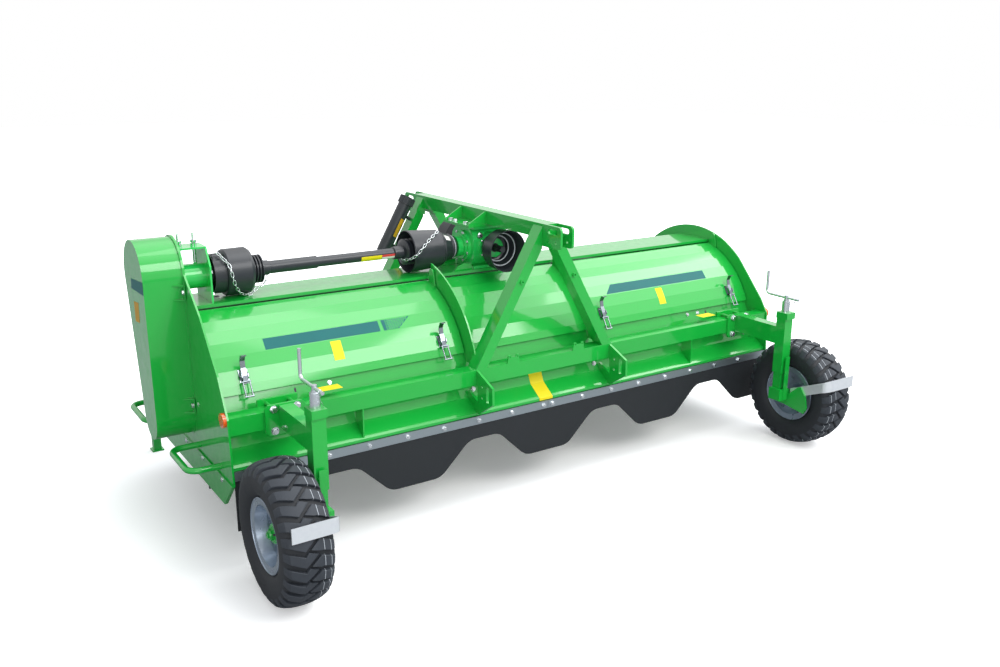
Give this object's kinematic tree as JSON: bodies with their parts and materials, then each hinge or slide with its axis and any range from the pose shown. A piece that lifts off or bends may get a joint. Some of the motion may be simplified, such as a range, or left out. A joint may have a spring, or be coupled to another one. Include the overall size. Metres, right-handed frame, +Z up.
{
  "type": "haulm topper",
  "caption": "Mounted haulm topper with a folded hood, hinged doors, flail rotor, scalloped rubber flaps, belt drive, headstock, support wheels and parking stands",
  "frame": {"origin": "centre of the footprint, on the ground", "axes": "+X to the right along the rotor seen from the wheels, +Y towards the parking stands, +Z up"},
  "size_m": [3.381, 2.131, 1.3316],
  "materials": {
    "green_paint": "semi-gloss powder coat",
    "zinc_steel": "zinc plated",
    "dark_steel": "dark paint, worn",
    "black_plastic": "moulded",
    "flap_rubber": "dull",
    "tyre_rubber": "dull",
    "rim_paint": "silver grey, satin",
    "red_lens": "orange retro-reflector"
  },
  "bodies": {
    "chassis": {"aprons": "green_paint", "beam_gussets": "green_paint", "bearing_housing": "green_paint", "belt_cover": "green_paint", "canister": "black_plastic", "centre_panel": "green_paint", "cranks": "zinc_steel", "dividers": "green_paint", "flap_strips": "zinc_steel", "flaps": "flap_rubber", "gearbox": "green_paint", "gearbox_mount": "green_paint", "guard_chains": "zinc_steel", "guard_hoops": "green_paint", "headstock_legs": "green_paint", "hood_shell": "green_paint", "input_guards": "black_plastic", "link_brackets": "green_paint", "main_beams": "green_paint", "reflectors": "red_lens", "rotor_bearings": "dark_steel", "shaft_guards": "black_plastic", "side_plate_left": "green_paint", "side_plate_right": "green_paint", "skirt_plates": "green_paint", "stand_arms": "green_paint", "top_beam": "green_paint", "wheel_arms": "green_paint"},
    "door_left": {"door_left": "green_paint", "latches_left": "zinc_steel"},
    "door_right": {"door_right": "green_paint", "latches_right": "zinc_steel"},
    "rotor": {"rotor": "dark_steel"},
    "cross_shaft": {"cross_shaft": "dark_steel"},
    "input_shaft": {"input_shaft": "zinc_steel"},
    "post_left": {"post_left": "green_paint", "scraper_left": "zinc_steel"},
    "post_right": {"post_right": "green_paint", "scraper_right": "zinc_steel"},
    "wheel_left": {"tyre_left": "tyre_rubber", "rim_left": "rim_paint"},
    "wheel_right": {"tyre_right": "tyre_rubber", "rim_right": "rim_paint"},
    "stand_left": {"stand_left": "green_paint"},
    "stand_right": {"stand_right": "green_paint"}
  },
  "joints": [
    {"name": "rotor_spin", "type": "hinge", "parent": "chassis", "child": "rotor", "pos_m": [0.0785, 0.1205, 0.525], "axis": [1, 0, 0], "continuous": true},
    {"name": "cross_shaft_spin", "type": "hinge", "parent": "chassis", "child": "cross_shaft", "pos_m": [-0.7715, 0.1855, 1.125], "axis": [1, 0, 0], "continuous": true},
    {"name": "input_shaft_spin", "type": "hinge", "parent": "chassis", "child": "input_shaft", "pos_m": [0.0785, 0.1855, 1.125], "axis": [0, 1, 0], "continuous": true},
    {"name": "door_left_hinge", "type": "hinge", "parent": "chassis", "child": "door_left", "pos_m": [-0.909, 0.0205, 1.04], "axis": [-1, 0, 0], "range_deg": [0, 110]},
    {"name": "door_right_hinge", "type": "hinge", "parent": "chassis", "child": "door_right", "pos_m": [1.066, 0.0205, 1.04], "axis": [-1, 0, 0], "range_deg": [0, 110]},
    {"name": "post_left_slide", "type": "slide", "parent": "chassis", "child": "post_left", "axis": [0, 0, 1], "range_m": [-0.15, 0.035]},
    {"name": "post_right_slide", "type": "slide", "parent": "chassis", "child": "post_right", "axis": [0, 0, 1], "range_m": [-0.15, 0.035]},
    {"name": "wheel_left_spin", "type": "hinge", "parent": "post_left", "child": "wheel_left", "pos_m": [-1.4315, -0.7745, 0.291], "axis": [1, 0, 0], "continuous": true},
    {"name": "wheel_right_spin", "type": "hinge", "parent": "post_right", "child": "wheel_right", "pos_m": [1.5885, -0.7745, 0.291], "axis": [1, 0, 0], "continuous": true},
    {"name": "stand_left_slide", "type": "slide", "parent": "chassis", "child": "stand_left", "axis": [0, 0, 1], "range_m": [0, 0.25]},
    {"name": "stand_right_slide", "type": "slide", "parent": "chassis", "child": "stand_right", "axis": [0, 0, 1], "range_m": [0, 0.25]}
  ],
  "couplings": [
    {"joint": "cross_shaft_spin", "follows": "rotor_spin", "ratio": 0.6},
    {"joint": "input_shaft_spin", "follows": "rotor_spin", "ratio": 0.6}
  ]
}
